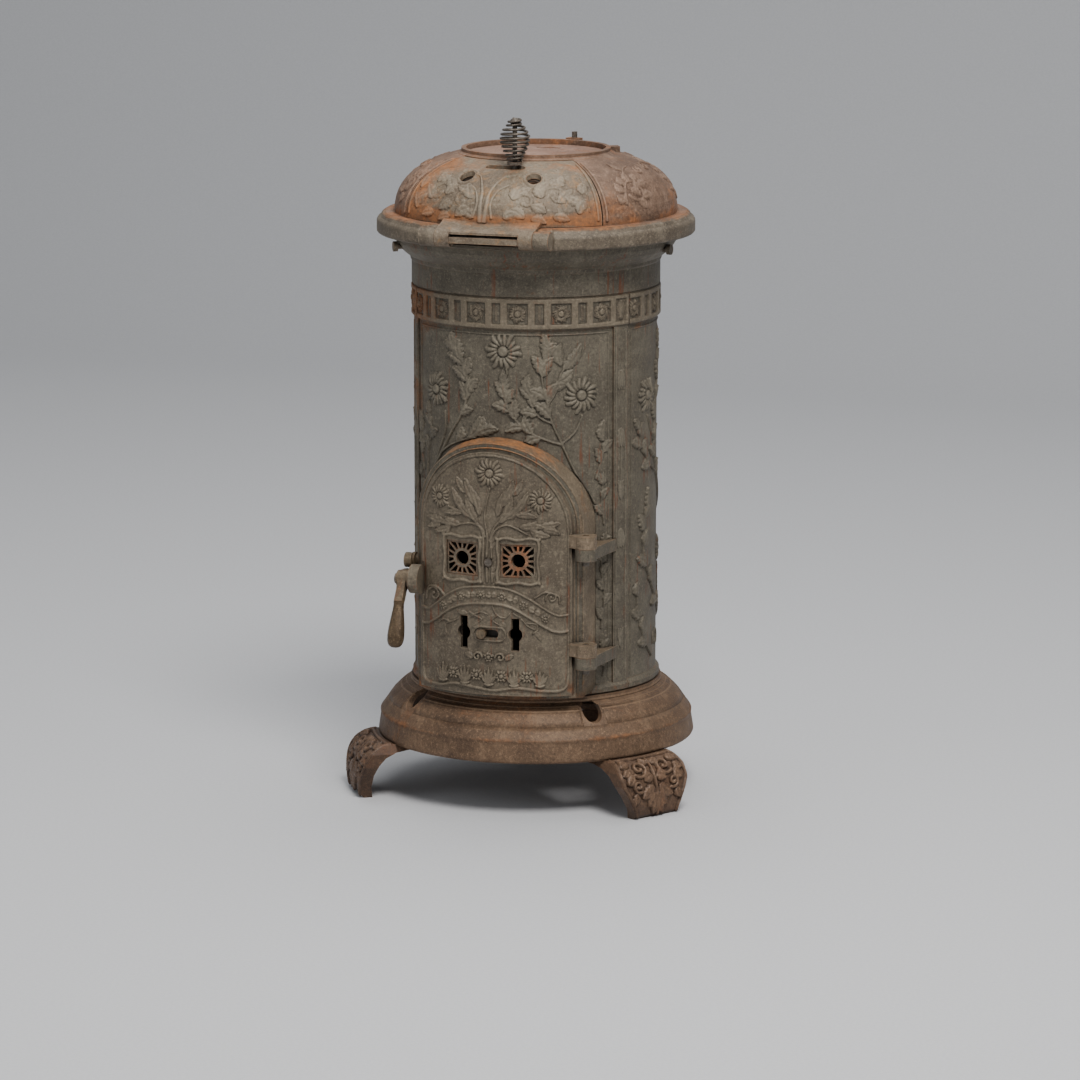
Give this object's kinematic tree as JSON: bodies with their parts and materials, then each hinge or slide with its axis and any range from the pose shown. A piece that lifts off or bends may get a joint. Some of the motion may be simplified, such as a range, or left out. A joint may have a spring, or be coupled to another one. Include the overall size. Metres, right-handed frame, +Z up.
{
  "type": "wood burning stove",
  "caption": "Round cast-iron stove with a domed feed flap, an arched door with an air slide and a latch, cabriole feet and a rear flue collar.",
  "frame": {"origin": "the stove's vertical axis at floor level, between its feet", "axes": "+Z up; the door faces -Y and its hinges are towards +X; the flue leaves towards +Y"},
  "size_m": [0.3842, 0.3827, 0.736],
  "materials": {
    "body_iron": "matte",
    "base_iron": "matte",
    "foot_iron": "matte",
    "dome_iron": "matte",
    "flap_iron": "matte",
    "door_iron": "matte",
    "lid_iron": "matte",
    "coil_wire": "matte",
    "grip_brass": "satin",
    "latch_iron": "matte",
    "fastener_steel": "matte",
    "inner_iron": "matte",
    "pan_sheet": "matte",
    "fire_clay": "matte"
  },
  "bodies": {
    "stove": {"base_flange": "base_iron", "foot_front_left": "foot_iron", "foot_front_right": "foot_iron", "foot_rear": "foot_iron", "foot_bolts": "fastener_steel", "foot_nuts": "fastener_steel", "hearth_plate": "inner_iron", "front_wall": "body_iron", "right_rear_wall": "body_iron", "left_rear_wall": "body_iron", "tie_rods": "fastener_steel", "tie_rod_nuts": "fastener_steel", "top_collar": "body_iron", "dome_shell": "dome_iron", "dome_screws": "fastener_steel", "flap_hinge_pin": "fastener_steel", "swing_pivot_pin": "fastener_steel", "door_hinge_pins": "fastener_steel", "latch_keeper": "latch_iron", "fire_grate": "inner_iron", "grate_ring": "inner_iron", "fire_bricks": "fire_clay", "ash_pan": "pan_sheet", "ash_pan_handle": "pan_sheet", "flue_collar": "body_iron", "flue_bolts": "fastener_steel"},
    "door": {"door": "door_iron", "sunburst_grates": "door_iron", "door_liner": "inner_iron", "liner_screw": "fastener_steel", "slide_guides": "inner_iron", "latch_pin": "fastener_steel"},
    "latch": {"latch_handle": "latch_iron", "latch_grip": "grip_brass"},
    "draft_slide": {"draft_slide": "inner_iron", "draft_knob": "latch_iron"},
    "feed_flap": {"feed_flap": "flap_iron", "shutter_keepers": "inner_iron"},
    "flap_shutter": {"flap_shutter": "inner_iron", "handle_stem": "coil_wire", "coil_handle": "coil_wire", "stem_nut": "fastener_steel"},
    "cooking_lid": {"cooking_lid": "lid_iron"}
  },
  "joints": [
    {"name": "door_hinge", "type": "hinge", "parent": "stove", "child": "door", "pos_m": [0.099, -0.131, 0.23], "axis": [0, 0, 1], "range_deg": [0, 120]},
    {"name": "latch_turn", "type": "hinge", "parent": "door", "child": "latch", "pos_m": [-0.098, -0.146, 0.247], "axis": [-1, 0, 0], "range_deg": [0, 80]},
    {"name": "draft_slide", "type": "hinge", "parent": "door", "child": "draft_slide", "pos_m": [0, 0, 0.196], "axis": [0, 0, 1], "range_deg": [0, 5.1]},
    {"name": "feed_flap_hinge", "type": "hinge", "parent": "stove", "child": "feed_flap", "pos_m": [0, -0.165, 0.616], "axis": [1, 0, 0], "range_deg": [0, 105]},
    {"name": "flap_shutter_slide", "type": "hinge", "parent": "feed_flap", "child": "flap_shutter", "pos_m": [0, 0, 0.67], "axis": [0, 0, 1], "range_deg": [-14, 0]},
    {"name": "lid_lift", "type": "slide", "parent": "stove", "child": "cooking_lid", "axis": [0, 0, 1], "range_m": [0, 0.05]}
  ]
}
